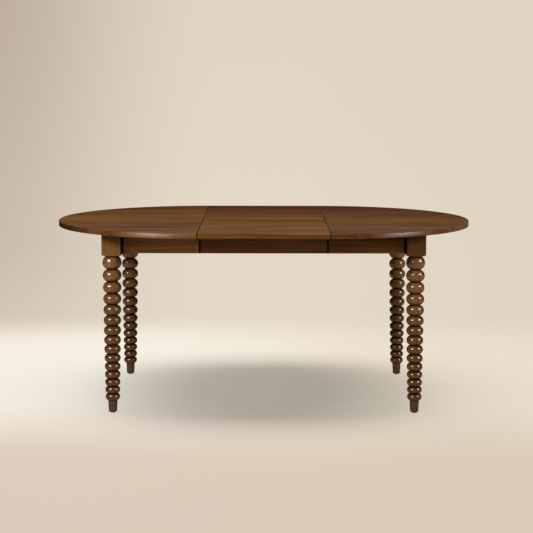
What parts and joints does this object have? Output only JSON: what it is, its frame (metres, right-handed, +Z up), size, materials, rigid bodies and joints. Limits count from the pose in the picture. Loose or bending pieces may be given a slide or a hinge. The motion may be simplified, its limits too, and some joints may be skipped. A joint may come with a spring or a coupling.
{
  "type": "extending dining table",
  "caption": "Oval extending dining table on four bobbin-turned legs, with geared wooden slides, a lift-out centre leaf and hook latches at its seams.",
  "frame": {"origin": "on the floor under the middle of the top, with the leaf in place", "axes": "+X along the table's length (to the right seen from the front), +Y from the front to the back, +Z up"},
  "size_m": [1.735, 1.22, 0.75],
  "materials": {
    "top_wood": "satin walnut stain",
    "leg_wood": "semi-gloss walnut stain",
    "apron_wood": "satin walnut stain",
    "slide_wood": "bare planed hardwood",
    "block_wood": "bare sawn softwood",
    "dowel_wood": "bare turned beech",
    "glide_plastic": "moulded nylon",
    "latch_steel": "zinc-plated, dull",
    "gear_brass": "machined",
    "rack_steel": "bright drawn",
    "fastener_steel": "zinc-plated"
  },
  "bodies": {
    "core": {"back_core_runner": "slide_wood", "centre_crossbar": "slide_wood", "crossbar_screws": "fastener_steel", "front_core_runner": "slide_wood", "pinion_pins": "fastener_steel", "stop_pegs": "dowel_wood"},
    "left_half": {"left_back_apron": "apron_wood", "left_back_leg": "leg_wood", "left_corner_blocks": "block_wood", "left_end_apron": "apron_wood", "left_foot_glides": "glide_plastic", "left_front_apron": "apron_wood", "left_front_leg": "leg_wood", "left_half_top": "top_wood", "left_hanger_bolts": "fastener_steel", "left_inner_runner": "slide_wood", "left_latch_plates": "latch_steel", "left_latch_screws": "fastener_steel", "left_nuts": "fastener_steel", "left_outer_runner": "slide_wood", "left_racks": "rack_steel", "left_screw_blocks": "block_wood", "left_seam_pins": "dowel_wood", "left_seam_rail": "slide_wood", "left_washers": "fastener_steel", "left_wood_screws": "fastener_steel"},
    "right_half": {"right_back_apron": "apron_wood", "right_back_leg": "leg_wood", "right_corner_blocks": "block_wood", "right_end_apron": "apron_wood", "right_foot_glides": "glide_plastic", "right_front_apron": "apron_wood", "right_front_leg": "leg_wood", "right_half_top": "top_wood", "right_hanger_bolts": "fastener_steel", "right_inner_runner": "slide_wood", "right_latch_plates": "latch_steel", "right_latch_screws": "fastener_steel", "right_nuts": "fastener_steel", "right_outer_runner": "slide_wood", "right_racks": "rack_steel", "right_screw_blocks": "block_wood", "right_seam_pins": "dowel_wood", "right_seam_rail": "slide_wood", "right_washers": "fastener_steel", "right_wood_screws": "fastener_steel"},
    "leaf": {"leaf_back_apron": "apron_wood", "leaf_front_apron": "apron_wood", "leaf_keeper_plates": "latch_steel", "leaf_keeper_screws": "fastener_steel", "leaf_screw_blocks": "block_wood", "leaf_top": "top_wood", "leaf_wood_screws": "fastener_steel"},
    "front_pinion": {"front_pinion": "gear_brass"},
    "back_pinion": {"back_pinion": "gear_brass"},
    "left_front_latch": {"left_front_latch": "latch_steel"},
    "left_back_latch": {"left_back_latch": "latch_steel"},
    "right_front_latch": {"right_front_latch": "latch_steel"},
    "right_back_latch": {"right_back_latch": "latch_steel"}
  },
  "joints": [
    {"name": "left_slide", "type": "slide", "parent": "core", "child": "left_half", "axis": [-1, 0, 0], "range_m": [0, 0.03]},
    {"name": "right_slide", "type": "slide", "parent": "core", "child": "right_half", "axis": [1, 0, 0], "range_m": [0, 0.03]},
    {"name": "leaf_lift", "type": "slide", "parent": "core", "child": "leaf", "axis": [0, 0, 1], "range_m": [0, 0.25]},
    {"name": "front_pinion_spin", "type": "hinge", "parent": "core", "child": "front_pinion", "pos_m": [0, -0.17, 0.71002], "axis": [0, 0, -1], "range_deg": [0, 95.5]},
    {"name": "back_pinion_spin", "type": "hinge", "parent": "core", "child": "back_pinion", "pos_m": [0, 0.17, 0.71002], "axis": [0, 0, -1], "range_deg": [0, 95.5]},
    {"name": "left_front_latch_swing", "type": "hinge", "parent": "left_half", "child": "left_front_latch", "pos_m": [-0.2776, -0.275, 0.7247], "axis": [0, 0, 1], "range_deg": [0, 90]},
    {"name": "left_back_latch_swing", "type": "hinge", "parent": "left_half", "child": "left_back_latch", "pos_m": [-0.2776, 0.275, 0.7247], "axis": [0, 0, -1], "range_deg": [0, 90]},
    {"name": "right_front_latch_swing", "type": "hinge", "parent": "right_half", "child": "right_front_latch", "pos_m": [0.2776, -0.275, 0.7247], "axis": [0, 0, -1], "range_deg": [0, 90]},
    {"name": "right_back_latch_swing", "type": "hinge", "parent": "right_half", "child": "right_back_latch", "pos_m": [0.2776, 0.275, 0.7247], "axis": [0, 0, 1], "range_deg": [0, 90]}
  ],
  "couplings": [
    {"joint": "right_slide", "follows": "left_slide", "ratio": 1},
    {"joint": "front_pinion_spin", "follows": "left_slide", "rad_per_m": 55.556},
    {"joint": "back_pinion_spin", "follows": "left_slide", "rad_per_m": 55.556}
  ]
}
